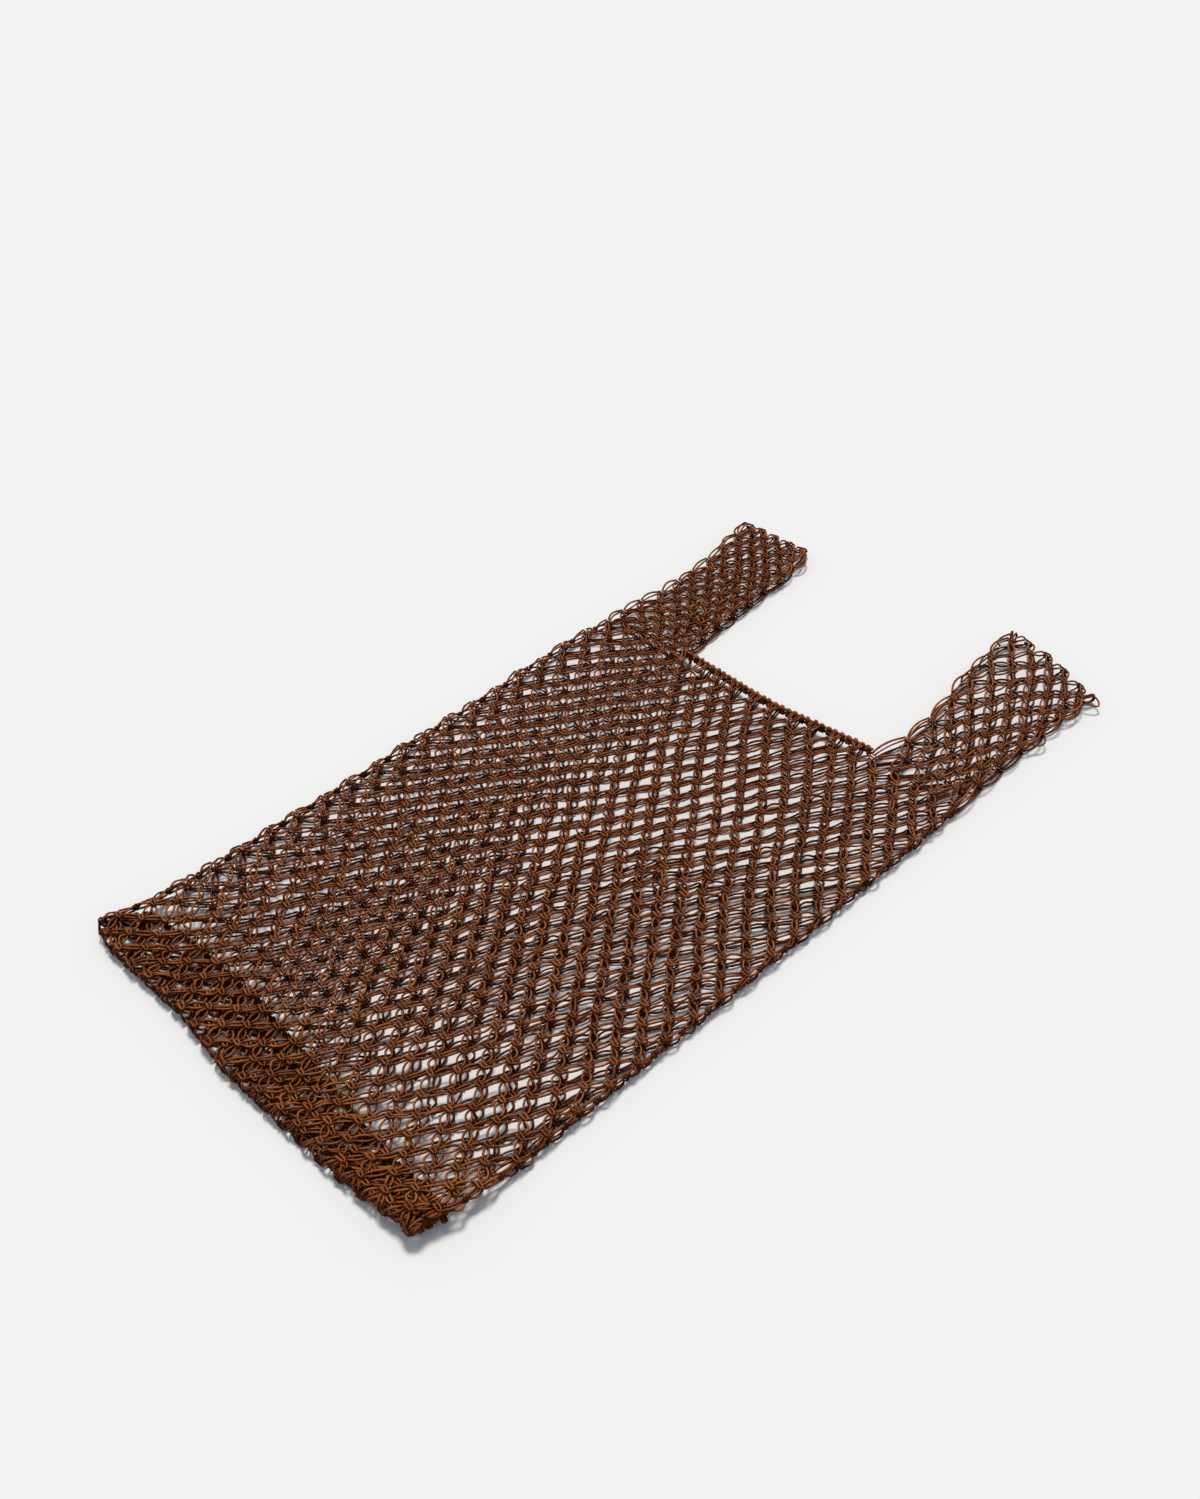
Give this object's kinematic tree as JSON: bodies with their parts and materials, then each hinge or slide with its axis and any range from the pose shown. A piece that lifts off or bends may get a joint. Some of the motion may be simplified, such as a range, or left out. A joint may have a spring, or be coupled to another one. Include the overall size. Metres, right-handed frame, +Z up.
{
  "type": "knotted net handbag",
  "caption": "Vest-shaped market bag of knotted diamond net in brown twine, with a handle strap at each side of its mouth, lying flat with its base folded under.",
  "frame": {"origin": "middle of the bag's outline, on the surface that it lies on", "axes": "+Y along the bag from its base to its handles, +X across it from the left handle to the right one, +Z up from the surface"},
  "size_m": [0.3132, 0.637, 0.0151],
  "materials": {
    "body_net": "matt natural twine, two strands to each side of the mesh, close knots",
    "handle_net": "matt natural twine, drawn out along the handle",
    "neck_cord": "matt natural twine in a row of close knots"
  },
  "bodies": {
    "root": {"net_body": "body_net", "left_handle": "handle_net", "right_handle": "handle_net", "front_neck_edge": "neck_cord", "back_neck_edge": "neck_cord"}
  },
  "joints": []
}
